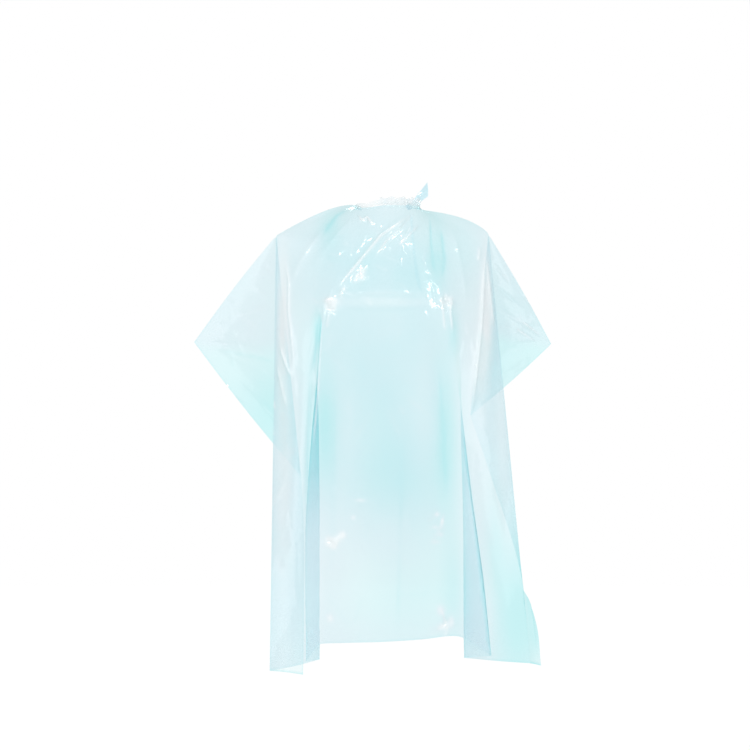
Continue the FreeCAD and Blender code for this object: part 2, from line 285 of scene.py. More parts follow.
def across(lines, knots, folds, at):
    """Joins lines (line, row, xyz) into a surface: smooth through each line, but sharp at the folds."""
    lines, knots = np.asarray(lines), np.asarray(knots, float)
    count = len(knots)
    secant = np.diff(lines, axis=0) / np.diff(knots)[:, None, None]
    into, out = np.empty_like(lines), np.empty_like(lines)
    for k in range(count):
        before, after = secant[max(k - 1, 0)], secant[min(k, count - 2)]
        if k in folds or k in (0, count - 1):
            into[k], out[k] = before, after
        else:
            left, right = knots[k] - knots[k - 1], knots[k + 1] - knots[k]
            mean = (before * right + after * left) / (left + right)
            limit = 2.0 * np.minimum(np.abs(before), np.abs(after))
            same_way = (before * after) > 0
            into[k] = out[k] = np.where(same_way, np.sign(mean) * np.minimum(np.abs(mean), limit), 0.0)
    k = np.clip(np.searchsorted(knots, at, side="right") - 1, 0, count - 2)
    width = (knots[k + 1] - knots[k])[:, None, None]
    start, leave, end, arrive = blend_weights((at - knots[k])[:, None, None] / width)
    surface = start * lines[k] + leave * width * out[k] + end * lines[k + 1] + arrive * width * into[k + 1]
    return np.transpose(surface, (1, 0, 2))


def normals_of(grid):
    """Unit normals of a grid of points, pointing to the front of the cape."""
    down = np.gradient(grid, axis=0)
    side = np.gradient(grid, axis=1)
    normal = np.cross(down, side)
    size = np.linalg.norm(normal, axis=2, keepdims=True)
    return normal / np.maximum(size, 1e-12)


def smoothstep(x, low, high):
    """0 up to low, 1 from high on, and a smooth rise between them."""
    u = np.clip((x - low) / (high - low), 0, 1)
    return u * u * (3 - 2 * u)


STROKE_FADE = 0.25       # the share of a crease's length over which each end of it fades


def stroke(x, z, points, width):
    """How strongly a crease is felt at (x, z): 1 on it, and 0 away from it and at its ends."""
    points = np.array(points, float)
    steps = np.diff(points, axis=0)
    lengths = np.linalg.norm(steps, axis=1)
    total = lengths.sum()
    felt, gone = np.zeros_like(x), 0.0
    for k, (start, step, length) in enumerate(zip(points, steps, lengths)):
        t = ((x - start[0]) * step[0] + (z - start[1]) * step[1]) / length**2
        t = np.clip(t, -0.1 if k == 0 else 0.0, 1.1 if k == len(steps) - 1 else 1.0)
        along = (gone + t * length) / total
        wide = width * (0.7 + 0.6 * np.clip(along, 0, 1))
        away = np.hypot(x - start[0] - t * step[0], z - start[1] - t * step[1]) / wide
        ends = smoothstep(along, -0.02, STROKE_FADE) * (1 - smoothstep(along, 1 - STROKE_FADE, 1.02))
        felt = np.maximum(felt, np.exp(-1.6 * away**1.15) * ends)
        gone += length
    return felt


def mesh_object(name, grid, material, haze_and_highlight, tint_and_shade):
    """A smooth mesh of a grid of points, with how hazy the film is and how deep its tint is at each point,
    both of which also carry painted sheen, highlights and shade.
    """
    rows, columns, _ = grid.shape
    points = grid.reshape(-1, 3)
    faces = []
    for r in range(rows - 1):
        for c in range(columns - 1):
            a = r * columns + c
            faces.append((a, a + columns, a + columns + 1, a + 1))
    mesh = bpy.data.meshes.new(name)
    mesh.from_pydata(points.tolist(), [], faces)
    mesh.shade_smooth()
    mesh.materials.append(material)
    for label, values in (("haze_and_highlight", haze_and_highlight), ("tint_and_shade_depth", tint_and_shade)):
        attribute = mesh.attributes.new(label, "FLOAT", "POINT")
        values = np.broadcast_to(values, (rows, columns)).astype(np.float32)
        attribute.data.foreach_set("value", np.clip(values, -1, 1).ravel())
    obj = bpy.data.objects.new(name, mesh)
    bpy.context.scene.collection.objects.link(obj)
    return obj


# ---- the creases of the hanging sheet, from the frame's own joints and boxes ----------------------------

SHOULDER = {side: np.array(JOINTS[f"{side}_crease_hinge"]["pos_m"]) for side in SIDES}
NECK_RADIUS = (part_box("neck_tie")[1][0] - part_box("neck_tie")[0][0]) / 2
MOUTH_SPREAD = math.radians(130)     # how far the neckline runs round the neck on each side of the front


def crease_axis(joint_name):
    """A hinge axis as a unit vector that points down."""
    axis = np.array(JOINTS[joint_name]["axis"], float)
    return axis if axis[2] < 0 else -axis


def on_crease(joint_name, drops):
    """Points of a crease at the given drops below the neckline."""
    start, axis = np.array(JOINTS[joint_name]["pos_m"]), crease_axis(joint_name)
    steps = (-np.asarray(drops) - start[2]) / axis[2]
    return start + steps[:, None] * axis


def square_to(axis, direction):
    """The unit vector nearest to a direction that is square to a unit axis."""
    part = direction - axis * np.dot(direction, axis)
    return part / np.linalg.norm(part)


# The film starts a little above the top of each hinge, on the same axis, where it rests on the shoulder.
SHOULDER_RISE = {"left": 0.006, "right": 0.009}
SHOULDER_TOP = {
    side: on_crease(f"{side}_crease_hinge", [-SHOULDER[side][2] - SHOULDER_RISE[side]])[0] for side in SIDES
}


def line_points(knots, drops):
    """A line's points at the given drops, in metres, from knots of (drop, x, y) in millimetres."""
    place = smooth_line([(d * MM, x * MM, y * MM) for d, x, y in knots], drops)
    return np.column_stack([place, -drops])


# Lines down the front film, from the middle outward: (share of the half width, fold, hem drop, knots).
# A knot is (drop, x, y) in millimetres from the middle of the neck opening.
FRONT_LINES = {
    "left": [
        (0.27, False, 829, [
            (75, -34, -98), (200, -66, -127), (300, -68, -126), (410, -68, -127), (840, -74, -128),
        ]),
        (0.46, False, 831, [
            (75, -66, -86), (200, -108, -120), (300, -112, -119), (410, -116, -122), (840, -124, -124),
        ]),
        (0.54, True, 864, [
            (75, -84, -80), (200, -119, -114), (300, -126, -116), (410, -138, -119), (560, -151, -120),
            (870, -153, -121),
        ]),
        (0.64, True, 862, [
            (75, -102, -72), (200, -130, -104), (300, -130, -108), (410, -128, -110), (560, -127, -109),
            (870, -127, -109),
        ]),
        (0.82, False, 876, [(75, -158, -42), (200, -178, -62), (410, -174, -84), (870, -176, -99)]),
    ],
    "right": [
        (0.24, False, 822, [(75, 34, -98), (200, 62, -127), (410, 62, -127), (840, 70, -129)]),
        (0.40, False, 816, [
            (75, 60, -89), (200, 104, -121), (300, 108, -120), (410, 112, -123), (840, 128, -128),
        ]),
        (0.55, True, 854, [
            (75, 80, -80), (200, 119, -114), (300, 128, -118), (410, 142, -121), (560, 161, -122),
            (720, 183, -122), (870, 198, -121),
        ]),
        (0.68, True, 859, [
            (75, 100, -72), (200, 131, -100), (300, 136, -106), (410, 139, -110), (560, 143, -110),
            (870, 144, -109),
        ]),
        (0.84, False, 866, [(75, 148, -42), (200, 170, -60), (410, 182, -82), (870, 206, -99)]),
    ],
}
CENTRE_LINE = (827, [(97, 0, -108), (200, -4, -124), (300, -4, -125), (410, -4, -126), (840, -4, -128)])
OUTER_HEM = {"left": -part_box("left_side_panel")[0][2], "right": -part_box("right_side_panel")[0][2] - 0.005}
YOKE_SHARE = 0.17                    # of the front's rows
BAND_TOP, BAND_BOTTOM = 0.008, -0.004     # the casing's edges above and below the neck ring


def neckline_drop(angle):
    """How far the neckline sinks on the left of the neck, in metres."""
    return 0.004 * smoothstep(-np.cos(angle), 0.15, 0.6)


def gathers(angle, z=0.0):
    """How far the gathered neckline stands in or out at an angle round the neck, from -1 to 1."""
    waves = 0.0 * angle
    for turns, size, phase in ((41, 0.35, 0.3), (67, 0.45, 2.1), (97, 0.35, 4.4), (23, 0.25, 1.0)):
        waves = waves + size * np.sin(turns * angle + phase + 9.0 * z)
    tighter_on_the_right = 0.45 + 0.55 * smoothstep(angle, math.radians(-128), math.radians(-95))
    return waves * tighter_on_the_right


def front_grid(rows, columns):
    """The film from one outer crease round the front to the other, from the neckline to the hem."""
    v = np.linspace(0, 1, rows)
    w = (v - YOKE_SHARE) / (1 - YOKE_SHARE)
    first_row = np.searchsorted(w, 0)
    lines, knots, folds = [], [], []

    def add_line(share, fold, top, hem, at_drops):
        """One line down the sheet: along the yoke from the neckline, then down to the hem."""
        angle = -math.pi / 2 + share * MOUTH_SPREAD
        ring = np.array([math.cos(angle), math.sin(angle), 0]) * NECK_RADIUS
        ring[2] = BAND_BOTTOM - neckline_drop(angle)
        hanging = at_drops(top + (hem - top) * np.clip(w, 0, 1))
        first = hanging[first_row]
        u = np.clip(v / YOKE_SHARE, 0, 1)[:, None]
        # the film stands up off the shoulders: near the neck on the left, and further out on the right
        if share < 0:
            puff = 0.021 * np.abs(np.sin(np.pi * u**0.62)) ** 0.85
        else:
            puff = 0.014 * np.abs(np.sin(np.pi * u**1.6)) ** 0.6
        lift = puff * np.array([0, 0, 1.0])
        # and it stands forward of the chest in the middle
        forward = 0.010 * np.sin(np.pi * u) * np.array([0, -1.0, 0])
        yoke = ring + (first - ring) * u + lift * share**2 + forward * (1 - abs(share))
        lines.append(np.where(w[:, None] < 0, yoke, hanging))
        knots.append(share)
        if fold:
            folds.append(len(knots) - 1)

    def add_half(side):
        """The lines of one half of the sheet, always from the viewer's left to the right."""
        outer = f"{side}_crease_hinge"
        entries = [(share, fold, line[0][0] * MM, hem * MM, lambda d, k=line: line_points(k, d))
                   for share, fold, hem, line in FRONT_LINES[side]]
        entries.append((1.0, False, -SHOULDER_TOP[side][2], OUTER_HEM[side], lambda d: on_crease(outer, d)))
        for share, fold, top, hem, at_drops in entries if side == "right" else reversed(entries):
            add_line(SIDES[side] * share, fold, top, hem, at_drops)

    add_half("left")
    hem, line = CENTRE_LINE
    add_line(0.0, False, line[0][0] * MM, hem * MM, lambda d: line_points(line, d))
    add_half("right")
    at = fold_columns([knots[k] for k in folds], columns)
    return across(lines, knots, folds, at), at, v


def fold_columns(folds, columns):
    """Shares from -1 to 1, four times as close together at the folds."""
    even = np.linspace(-1, 1, 4001)
    tint_and_shade_attribute = np.ones_like(even)
    for fold in folds:
        tint_and_shade_attribute += 3.0 * np.exp(-(((even - fold) / 0.022) ** 2))
    total = np.concatenate([[0], np.cumsum((tint_and_shade_attribute[1:] + tint_and_shade_attribute[:-1]) / 2)])
    return np.interp(np.linspace(0, total[-1], columns), total, even)


def softened_rows(grid, levels):
    """Softens the turn from the yoke to the hanging film, most in the middle of the sheet."""
    out = grid.copy()
    near = np.exp(-(((levels - YOKE_SHARE) / 0.05) ** 2))[:, None, None]
    share = np.linspace(-1, 1, grid.shape[1])[None, :, None]
    weight = near * (1 - smoothstep(np.abs(share), 0.80, 1.0))
    for _ in range(40):
        middle = 0.25 * out[:-2] + 0.5 * out[1:-1] + 0.25 * out[2:]
        out[1:-1] += weight[1:-1] * (middle - out[1:-1])
    return out


def rounded_columns(grid, passes):
    """Rounds the folds by averaging each column with its neighbours. The outermost columns stay."""
    out = grid.copy()
    for _ in range(passes):
        out[:, 1:-1] = 0.25 * out[:, :-2] + 0.5 * out[:, 1:-1] + 0.25 * out[:, 2:]
    return out


# ---- creases and crumples that give the film its look -------------------------------------------------

# Each is (points, width, height, shade), in millimetres seen from the front. A height below 0 is a valley.
# A shade above 0 paints a highlight along the crease, and one below 0 paints shade into it.
FRONT_CREASES = [
    # pulls that run from the knot side of the neck to the left of the bust
    ([(53, -18), (-13, -65), (-55, -116), (-94, -163)], 4.5, 5.0, 0.62),
    ([(53, -18), (21, -54), (-2, -75), (-24, -108)], 3.5, -4.0, 0.45),
    ([(40, -20), (4, -48), (-20, -76)], 5, 2.5, 0.0),
    ([(62, -41), (42, -62), (21, -84)], 4, 4.0, 0.45),
    ([(45, -44), (23, -84)], 3, -3.0, 0.35),
    ([(-36, -120), (-58, -146), (-66, -158)], 8, 4.0, 0.35),
    ([(-44, -126), (-50, -150)], 6, -3.0, 0.30),
    ([(-80, -158), (-90, -182)], 7, 4.0, 0.35),
    # a small fold below the neckline
    ([(-57, -20), (-48, -32), (-38, -27), (-30, -38), (-21, -42)], 4, 4.0, 0.60),
    ([(-53, -31), (-36, -36)], 4, -3.0, 0.35),
    # the tight band across the bust, and what falls from its two ends
    ([(-119, -184), (-92, -190)], 8, 5.0, 0.50),
    ([(-119, -200), (-94, -205)], 7, -4.0, 0.45),
    ([(-108, -205), (-115, -242)], 5, 4.0, 0.30),
    ([(-94, -177), (0, -172), (88, -176)], 5, 2.2, 0.10),
    ([(-92, -203), (0, -206), (86, -202)], 6, -2.2, -0.10),
    ([(100, -174), (104, -200), (108, -248)], 4, 4.0, 0.50),
    ([(124, -176), (118, -205), (123, -248)], 5, 4.0, 0.45),
    ([(104, -180), (120, -186)], 8, -3.5, 0.40),
    # folds that hang from the right of the neck, the first two darkened with painted shade
    ([(82, -20), (83, -74), (88, -135)], 4, -1.2, -0.80),
    ([(102, -46), (109, -108), (103, -144)], 5, -1.5, -0.95),
    ([(92, -30), (96, -110), (102, -140)], 6, 0.6, 0.0),
    ([(124, -46), (140, -120), (150, -190)], 9, 3.0, 0.0),
    # soft folds over the left shoulder, the first one darkened with painted shade
    ([(-72, -6), (-96, -22), (-122, -60)], 9, 1.2, -0.80),
    ([(-66, -26), (-110, -80), (-150, -130)], 10, 2.5, 0.0),
    ([(-120, -44), (-160, -100), (-188, -160)], 9, 2.5, 0.05),
    # the two wedges under the shoulders, made pale by painted sheen and painted highlights along their
    # creases
    ([(188, -95), (177, -242), (158, -410)], 4, 4.0, 0.40),
    ([(190, -95), (197, -170), (205, -242)], 4, 3.0, 0.35),
    ([(177, -80), (174, -110)], 4, 3.0, 0.50),
    ([(-198, -95), (-187, -148), (-187, -201), (-177, -288), (-181, -333)], 4, 3.5, 0.30),
    ([(-205, -269), (-181, -333)], 4, 4.0, 0.25),
    ([(-212, -300), (-190, -390)], 5, 3.0, 0.15),
    ([(-218, -372), (-216, -392)], 4, 3.0, 0.50),
    ([(-220, -428), (-217, -442)], 4, 3.0, 0.40),
    # long folds of the hanging front
    ([(-119, -195), (-124, -263), (-130, -357), (-139, -467)], 3, 4.0, 0.45),
    ([(-126, -200), (-132, -262), (-142, -330)], 6, -3.0, -0.70),
    ([(-143, -300), (-150, -480), (-151, -600)], 5, -1.5, -0.35),
    ([(-60, -300), (-66, -820)], 16, 2.5, 0.0),
    ([(-98, -330), (-104, -700)], 10, -2.5, -0.15),
    ([(-18, -380), (-30, -830)], 14, -2.0, 0.0),
    ([(30, -425), (25, -600), (18, -830)], 4, 2.6, -0.25),
    ([(60, -330), (74, -800)], 15, 2.5, 0.0),
    ([(96, -300), (104, -420), (112, -560)], 10, -3.0, -0.30),
    ([(138, -410), (160, -560), (196, -860)], 4, -3.0, -0.35),
    # the side pleats
    ([(-196, -110), (-190, -560)], 12, 1.2, 0.0),
    ([(-170, -160), (-168, -840)], 10, -0.9, 0.0),
    ([(180, -120), (206, -520)], 12, 1.0, 0.0),
    ([(206, -300), (238, -850)], 12, -0.7, 0.0),
    # crumples low on the front
    ([(-119, -640), (-101, -650), (-92, -632), (-77, -626)], 6, 4.0, 0.55),
    ([(-114, -627), (-98, -658)], 6, -4.0, 0.45),
    ([(100, -761), (112, -800), (106, -830)], 5, 4.0, 0.50),
    ([(92, -808), (118, -788)], 5, -3.5, 0.35),
    ([(81, -645), (100, -612), (109, -582)], 4, 3.0, 0.35),
    ([(74, -604), (92, -590), (96, -574)], 4, -3.0, 0.25),
]


def random_creases(count, x_range, z_range, lengths, angle, spread, widths, heights):
    """Small creases at random places, about one direction in degrees."""
    found = []
    for _ in range(count):
        x, z = RANDOM.uniform(*x_range), RANDOM.uniform(*z_range)
        length = RANDOM.uniform(*lengths)
        turn = math.radians(angle + RANDOM.normal(0, spread))
        dx, dz = length * math.cos(turn), length * math.sin(turn)
        bend = RANDOM.uniform(-0.08, 0.08)
        middle = (x + dx / 2 - dz * bend, z + dz / 2 + dx * bend)
        height = RANDOM.uniform(*heights) * RANDOM.choice((-1, 1))
        # each crease also gets a faint painted mark along it: a painted highlight where its tone is above 0,
        # painted shade where it is below
        width, painted_tone = RANDOM.uniform(*widths), RANDOM.uniform(-0.12, 0.14)
        found.append(([(x, z), middle, (x + dx, z + dz)], width, height, painted_tone))
    return found


def crumple(centre, radius, count, height):
    """A small crumple: short creases that meet near a point."""
    found = []
    for k in range(count):
        turn = 2 * math.pi * (k + RANDOM.uniform(-0.3, 0.3)) / count
        reach = radius * RANDOM.uniform(0.6, 1.3)
        end = (centre[0] + reach * math.cos(turn), centre[1] + reach * math.sin(turn))
        start = (centre[0] + RANDOM.uniform(-3, 3), centre[1] + RANDOM.uniform(-3, 3))
        # each crease of a crumple also gets a faint painted highlight along it
        found.append(([start, end], radius * 0.2, height * RANDOM.choice((-1, 1)), 0.12))
    return found


def crease_field(x, z, creases, shade=False):
    """The sum of many creases at points (x, z) in metres: their heights, or the highlights and shade painted
    along them.
    """
    field = np.zeros_like(x)
    x, z = x / MM, z / MM
    for points, width, height, painted_tone in creases:
        (left, low), (right, high) = np.min(points, axis=0), np.max(points, axis=0)
        reach = 4 * width
        near = (x > left - reach) & (x < right + reach) & (z > low - reach) & (z < high + reach)
        # with shade set, the result is painted light: highlights along creases above 0 and shade below 0
        if shade:
            field[near] += painted_tone * stroke(x[near], z[near], points, max(0.7 * width, 2.2))
        else:
            field[near] += height * MM * stroke(x[near], z[near], points, width)
    return field


LEAST_HAZE = 0.03                    # even the clearest film scatters a little light


def film_look(grid, base, seed, creases, patches):
    """How hazy and how deep in colour the film is at a grid's points, with painted sheen, highlights and
    shade laid in by the patches and the crease marks.
    """
    x, z = grid[..., 0], grid[..., 2]
    haze_and_highlight, tint_and_shade = base + slow_waves(x, z, 0.07, seed), slow_waves(x, z, 0.10, seed + 50)
    # patches add haze and tint, and some of them are painted sheen, painted highlights and painted shade
    for px, pz, wide, tall, paler_and_highlight, deeper_and_shade in patches:
        spot = np.exp(-(((x / MM - px) / wide) ** 2) - ((z / MM - pz) / tall) ** 2)
        haze_and_highlight, tint_and_shade = haze_and_highlight + paler_and_highlight * spot, tint_and_shade + deeper_and_shade * spot
    # painted highlights along the creases add to the haze, and painted shade along them deepens the tint
    painted_marks = crease_field(x, z, creases, shade=True)
    haze_and_highlight, tint_and_shade = haze_and_highlight + np.maximum(painted_marks, 0), tint_and_shade + np.maximum(-painted_marks, 0)
    return np.clip(haze_and_highlight, LEAST_HAZE, 0.9), np.clip(tint_and_shade, -1, 1)


def slow_waves(x, z, size, seed, count=14):
    """A gentle uneven surface, from a few long waves with random directions."""
    waves = np.zeros_like(x)
    draw = np.random.default_rng(seed)
    for _ in range(count):
        along = draw.normal(0, 1, 2) * np.array([26.0, 9.0])
        waves += np.sin(along[0] * x + along[1] * z + draw.uniform(0, 6.3))
    return waves * size / count**0.5


# ---- side panels and wings ---------------------------------------------------------------------------

WING_ROOT = {                        # where each hidden crease ends, a little below the wing's solid
    side: on_crease(f"{side}_wing_hinge", [-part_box(f"{side}_wing_lower")[0][2] + below])[0]
    for side, below in (("left", 0.005), ("right", 0.004))
}
WING_TIP = {                         # the outer corner of each wing
    "left": np.array([-0.380, 0.135, -0.262]),
    "right": np.array([0.322, 0.095, -0.266]),
}
SIDE_EDGE = {                        # points of each free side edge below the wing, in millimetres
    "left": [(-160, -20, -620), (-159, -36, -760), (-160, -45, -898)],
    "right": [(206, -12, -540), (246, -18, -663), (262, -34, -738), (284, -50, -802), (293, -52, -880)],
}
SIDE_TOP = 0.004                     # how far below the shoulder the side panel starts


def side_grid(side, rows, columns):
    """The film that turns back behind the outer crease, as far as the hidden crease and the side edge."""
    v = np.linspace(0, 1, rows)
    shoulder, root = SHOULDER_TOP[side], WING_ROOT[side]
    start = -shoulder[2] + SIDE_TOP
    edge = np.vstack([root, np.array(SIDE_EDGE[side]) * MM])
    outer = on_crease(f"{side}_crease_hinge", start + (OUTER_HEM[side] - start) * v)
    drops = start + (-edge[-1][2] - start) * v
    hidden = shoulder + (root - shoulder) * ((drops + shoulder[2]) / (shoulder[2] - root[2]))[:, None]
    free = smooth_line(np.column_stack([-edge[:, 2], edge[:, :2]]), drops)
    free = np.column_stack([free, -drops])
    back = np.where(drops[:, None] < -root[2], hidden, free)
    u = np.linspace(0, 1, columns)[None, :, None]
    grid = outer[:, None, :] * (1 - u) + back[:, None, :] * u
    # the strip bows backward by a tenth of its width
    width = np.linalg.norm(back - outer, axis=1)[:, None]
    grid[..., 1] += 0.10 * width * np.sin(np.pi * u[..., 0])
    return grid, v


def wing_grid(side, rows, columns):
    """The sheet's upper corner, which turns outward again at the hidden crease."""
    shoulder, root, tip = SHOULDER_TOP[side], WING_ROOT[side], WING_TIP[side]
    top_length, edge_length = np.linalg.norm(tip - shoulder), np.linalg.norm(root - tip)
    corner = top_length / (top_length + edge_length)
    t = np.sort(np.append(np.linspace(SIDE_TOP / np.linalg.norm(root - shoulder), 0.997, rows - 1), corner))
    crease = shoulder + (root - shoulder) * t[:, None]
    k = np.clip(t / corner, 0, 1)[:, None]
    j = np.clip((t - corner) / (1 - corner), 0, 1)[:, None]
    # the top edge arches by 5 mm, and the free edge bows outward by 4 mm
    top = shoulder + (tip - shoulder) * k + np.array([0, 0, 0.005]) * np.sin(np.pi * k)
    edge = tip + (root - tip) * j + np.array([SIDES[side] * 0.004, 0, 0]) * np.sin(np.pi * j)
    rim = np.where(t[:, None] < corner, top, edge)
    u = np.linspace(0, 1, columns)[None, :, None]
    grid = crease[:, None, :] * (1 - u) + rim[:, None, :] * u
    # the wing is hollow towards the front, most in its middle
    grid[..., 1] += 0.010 * np.sin(np.pi * u[..., 0]) * np.sin(np.pi * t)[:, None]
    return grid, t


# the wings' and the side strips' creases, as FRONT_CREASES: a shade above 0 paints a highlight, and one below
# 0 paints shade
WING_CREASES = {
    "left": [
        ([(-352, -262), (-280, -270), (-214, -292)], 4, 2.2, 0.10),
        ([(-340, -276), (-255, -292), (-208, -304)], 4, -2.2, -0.25),
        ([(-330, -276), (-222, -330)], 6, -1.6, 0.0),
        ([(-300, -216), (-216, -190)], 5, 1.8, 0.08),
        ([(-262, -150), (-206, -200)], 5, 1.6, 0.0),
        ([(-240, -110), (-204, -150)], 4, -1.8, 0.10),
        ([(-300, -330), (-200, -430)], 7, 1.6, 0.0),
        ([(-250, -380), (-190, -440)], 4, -1.6, 0.08),
    ],
    "right": [
        ([(300, -262), (200, -272)], 5, 2.0, 0.0),
        ([(292, -240), (206, -196)], 5, 1.8, 0.08),
        ([(262, -196), (206, -150)], 4, -2.0, -0.12),
        ([(238, -150), (204, -110)], 4, 1.8, 0.10),
        ([(270, -290), (190, -350)], 6, -1.6, 0.0),
        ([(300, -250), (262, -222)], 3, 2.2, 0.40),
        ([(292, -262), (250, -236)], 3, -2.0, 0.35),
        ([(286, -200), (262, -168)], 3, 1.8, 0.30),
    ],
}
SIDE_CREASES = {
    "left": [([(-206, -320), (-196, -700)], 8, 3.0, 0.0), ([(-186, -420), (-180, -860)], 8, -3.0, 0.0)],
    "right": [
        ([(206, -300), (236, -620)], 9, 3.0, 0.0),
        ([(250, -640), (284, -860)], 7, 3.5, -0.15),
        ([(262, -700), (262, -870)], 6, -3.0, 0.10),
    ],
}


def crumpled(grid, creases, mask, waves, seed):
    """Moves a grid along its normals by its creases and slow waves, but not where the mask is 0."""
    x, z = grid[..., 0], grid[..., 2]
    height = crease_field(x, z, creases) + slow_waves(x, z, waves, seed)
    return grid + normals_of(grid) * (height * mask)[..., None]


# ---- build the cape -----------------------------------------------------------------------------------

# each material: (clear tint, dense tint, haze tint, how fine its crinkles are)
film = film_material("cape_film", (0.75, 0.95, 0.962), (0.46, 0.865, 0.885), (0.80, 0.845, 0.928), 55.0)
crimped_film = film_material(
    "crimped_film", (0.93, 0.984, 0.988), (0.76, 0.93, 0.95), (0.84, 0.93, 0.96), 90.0
)
tie_film = film_material("tie_film", (0.88, 0.97, 0.985), (0.60, 0.86, 0.92), (0.66, 0.84, 0.93), 120.0)

# Where the film looks different: (x, z, half width, half height, hazier, deeper), in millimetres. Some hazier
# spots are painted sheen and highlights, and some deeper ones painted shade, as noted below.
FRONT_PATCHES = [
    # the chest, the belly and the tight band between them: painted shade of the form the cape hangs on, which
    # is left out, deepens the chest and the belly, and a painted sheen makes the tight band paler
    (0, -130, 105, 75, 0.03, 1.10),
    (0, -245, 95, 50, 0.04, 0.45),
    (-60, -60, 60, 35, 0.06, 0.15),
    (-150, -110, 50, 60, 0.12, 0.40),
    (0, -189, 100, 9, 0.14, -0.10),
    (0, -330, 100, 110, -0.03, 0.80),
    (0, -520, 120, 110, -0.06, 0.90),
    # deeper strips at both sides of the waist: painted shade of the sides of the form, which is left out
    (-118, -430, 24, 110, -0.24, 0.60),
    (110, -430, 24, 130, -0.24, 0.55),
    (-132, -240, 9, 34, -0.20, 0.50),
    (125, -250, 12, 40, -0.15, 0.45),
    (-148, -460, 10, 140, -0.06, 0.30),
    # the pleats, and the front beside the right one
    (-140, -740, 16, 170, 0.02, -0.30),
    (158, -660, 22, 190, 0.06, -0.40),
    (184, -790, 20, 90, 0.02, -0.45),
    (128, -720, 26, 110, -0.04, 0.40),
    # the clear stretch above the hem
    (0, -740, 160, 70, -0.24, 0.0),
    (60, -740, 60, 90, -0.08, 0.10),
    # below the gathers of the neck
    (-110, -50, 22, 50, -0.16, 0.30),
    (96, -100, 16, 70, -0.14, 0.30),
    (150, -90, 30, 60, -0.08, 0.20),
    # the outer panels: pale below the shoulders from a painted sheen, where they would mirror the side lamps,
    # and deeper at the lower right
    (-200, -220, 12, 120, 0.40, -0.45),
    (-196, -520, 20, 330, 0.26, -0.10),
    (-200, -780, 26, 160, 0.08, 0.05),
    (190, -200, 11, 100, 0.46, -0.55),
    (176, -330, 14, 90, 0.24, -0.20),
    (180, -520, 26, 200, 0.05, 0.0),
    (216, -330, 13, 150, -0.10, -0.6),
    (222, -540, 18, 120, 0.04, -0.35),
    (206, -640, 20, 100, -0.15, 0.25),
    (250, -800, 56, 150, -0.36, 0.55),
    # crumples on the chest and at the ends of the tight band, whitened partly by the crumpled film itself and
    # partly by painted highlights
    (-50, -140, 12, 13, 0.12, 0.0),
    (-106, -192, 15, 12, 0.30, 0.0),
    (111, -187, 11, 12, 0.28, 0.0),
    # crumples low on the left, whitened partly by the crumpled film itself and partly by painted highlights
    (-104, -640, 11, 9, 0.42, -0.5),
    (-84, -626, 6, 6, 0.42, -0.5),
    (-50, -562, 9, 3, 0.28, -0.3),
    (-64, -594, 4, 4, 0.28, -0.3),
    (-107, -783, 6, 7, 0.40, -0.3),
    # crumples low on the right, whitened partly by the crumpled film itself and partly by painted highlights
    (94, -588, 5, 3, 0.30, -0.3),
    (103, -602, 3, 7, 0.30, -0.3),
    (90, -612, 7, 3, 0.26, -0.3),
    (100, -626, 5, 4, 0.30, -0.3),
    (90, -640, 8, 3, 0.26, -0.3),
    (100, -768, 7, 9, 0.42, -0.5),
    (120, -790, 5, 10, 0.42, -0.5),
    (104, -799, 9, 5, 0.36, -0.4),
]
# Where the wings look different, as in FRONT_PATCHES: a painted sheen high on the right wing, and less haze
# with a deeper tint lower down
WING_PATCHES = [
    (-230, -410, 130, 100, -0.04, 0.50),
    (235, -120, 20, 40, 0.10, 0.0),
    (245, -260, 80, 110, -0.04, 0.35),
    (215, -330, 40, 40, -0.10, 0.15),
]
SIDE_PATCHES = [(285, -800, 40, 90, -0.08, 1.0)]
CRUMPLES = [                         # (centre, radius, count of creases, height) on the front
    ((-99, -638), 24, 6, 1.4),
    ((104, -800), 24, 8, 2.6),
    ((96, -610), 20, 7, 1.6),
    ((-106, -194), 18, 7, 2.2),
    ((112, -190), 18, 7, 2.2),
    ((-50, -138), 16, 6, 2.0),
]


FRONT_ROWS, FRONT_COLUMNS = 300, 330
SIDE_ROWS, SIDE_COLUMNS = 260, 44
WING_ROWS, WING_COLUMNS = 120, 90
PLEATS_OPEN = (0.34, 0.50)           # the levels between which the pleats' folds come to show
GATHER_DEPTH = 0.0004                # how far a gather of the neckline stands out


def front_creases():
    """The front's own creases, and small ones at random over its chest and its length."""
    creases = list(FRONT_CREASES)
    creases += random_creases(90, (-150, 150), (-190, -20), (12, 50), -60, 45, (2.0, 4.5), (0.3, 1.1))
    creases += random_creases(150, (-200, 200), (-840, -200), (15, 100), -90, 32, (2.2, 6), (0.3, 1.1))
    for place, radius, count, height in CRUMPLES:
        creases += crumple(place, radius, count, height)
    return creases


def tucked_layers(shares, levels):
    """1 on the layer of each pleat that runs back between its two folds, and 0 elsewhere."""
    tucked = np.zeros((len(levels), len(shares)))
    for side, lines in FRONT_LINES.items():
        inner, outer = [share for share, fold, _, _ in lines if fold]
        place = SIDES[side] * shares
        past_inner = smoothstep(place, inner - 0.01, inner + 0.01)
        past_outer = smoothstep(place, outer - 0.01, outer + 0.01)
        tucked += (past_inner * (1 - past_outer))[None, :]
    return tucked * smoothstep(levels, *PLEATS_OPEN)[:, None]


def edge_tint(shares, levels):
    """The deeper colour along the front's folds, its two outer creases and its hem."""
    def line_at(share):
        return np.exp(-(((shares - share) / 0.005) ** 2))[None, :]

    folds_show = smoothstep(levels, *PLEATS_OPEN)[:, None]
    flared = smoothstep(levels, 0.62, 0.80)[:, None]     # low down, where the right outer crease opens
    edges = 0.7 * (line_at(-1) + line_at(1) * (1 - 0.85 * flared))
    for side, lines in FRONT_LINES.items():
        for share, fold, _, _ in lines:
            if fold:
                edges = edges + 0.42 * line_at(SIDES[side] * share) * folds_show
    return edges + 0.35 * smoothstep(levels, 0.994, 1.0)[:, None]


